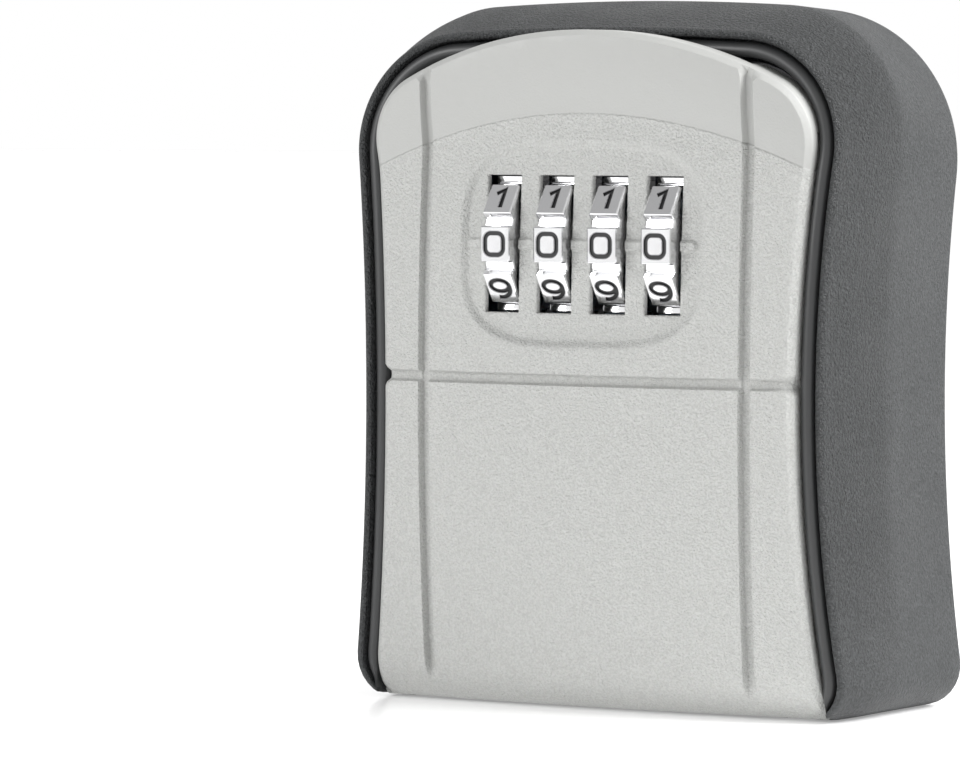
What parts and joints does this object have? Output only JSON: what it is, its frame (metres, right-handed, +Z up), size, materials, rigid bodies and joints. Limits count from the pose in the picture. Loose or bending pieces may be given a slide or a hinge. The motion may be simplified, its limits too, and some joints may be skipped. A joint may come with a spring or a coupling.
{
  "type": "key lock box",
  "caption": "Wall key safe: waisted textured housing with a drop-down door, number-wheel lock in the door, spring latch bolt and a cavity for keys.",
  "frame": {"origin": "under the middle of the whole object, on the plane it stands on", "axes": "+Z up, +X to the right seen from the front, +Y towards the flat back that goes against the wall"},
  "size_m": [0.0966, 0.0414, 0.112],
  "materials": {
    "charcoal_coat": "coarse leather-textured coat",
    "black_rubber": "smooth",
    "warm_grey_paint": "fine-grained matt paint",
    "pale_blue_plastic": "moulded satin",
    "chrome": "polished",
    "steel": "plain",
    "brass": "bright plated",
    "white_plastic": "moulded"
  },
  "bodies": {
    "housing": {"rear_housing": "charcoal_coat", "rim_seal": "black_rubber", "door_gasket": "black_rubber", "strike_plate": "steel", "hole_plug_top": "black_rubber", "hole_plug_left": "black_rubber", "hole_plug_right": "black_rubber", "hole_plug_bottom": "black_rubber", "hinge_pin_left": "steel", "hinge_pin_right": "steel"},
    "door": {"door_panel": "warm_grey_paint", "lock_case": "pale_blue_plastic", "case_screw_left": "brass", "case_screw_right": "brass", "ear_screw_left": "chrome", "ear_screw_right": "chrome", "dial_shaft": "steel", "shaft_clip": "steel", "detent_spring": "steel", "bolt_spring": "steel"},
    "wheel_1": {"number_wheel_1": "chrome", "code_sleeve_1": "white_plastic"},
    "wheel_2": {"number_wheel_2": "chrome", "code_sleeve_2": "white_plastic"},
    "wheel_3": {"number_wheel_3": "chrome", "code_sleeve_3": "white_plastic"},
    "wheel_4": {"number_wheel_4": "chrome", "code_sleeve_4": "white_plastic"},
    "latch": {"latch_bolt": "chrome", "locking_bar": "steel"},
    "reset": {"reset_lever": "steel", "reset_fork": "steel"}
  },
  "joints": [
    {"name": "door_hinge", "type": "hinge", "parent": "housing", "child": "door", "pos_m": [0, -0.00045, 0.0055], "axis": [1, 0, 0], "range_deg": [0, 90]},
    {"name": "wheel_1_spin", "type": "hinge", "parent": "door", "child": "wheel_1", "pos_m": [-0.0141, -0.00865, 0.0737], "axis": [1, 0, 0], "continuous": true},
    {"name": "wheel_2_spin", "type": "hinge", "parent": "door", "child": "wheel_2", "pos_m": [-0.0047, -0.00865, 0.0737], "axis": [1, 0, 0], "continuous": true},
    {"name": "wheel_3_spin", "type": "hinge", "parent": "door", "child": "wheel_3", "pos_m": [0.0047, -0.00865, 0.0737], "axis": [1, 0, 0], "continuous": true},
    {"name": "wheel_4_spin", "type": "hinge", "parent": "door", "child": "wheel_4", "pos_m": [0.0141, -0.00865, 0.0737], "axis": [1, 0, 0], "continuous": true},
    {"name": "latch_slide", "type": "slide", "parent": "door", "child": "latch", "axis": [0, 0, 1], "range_m": [-0.0012, 0.0025], "stiffness_N_per_m": 300, "deforming": ["bolt_spring"]},
    {"name": "reset_slide", "type": "slide", "parent": "door", "child": "reset", "axis": [1, 0, 0], "range_m": [-0.0022, 0]}
  ]
}
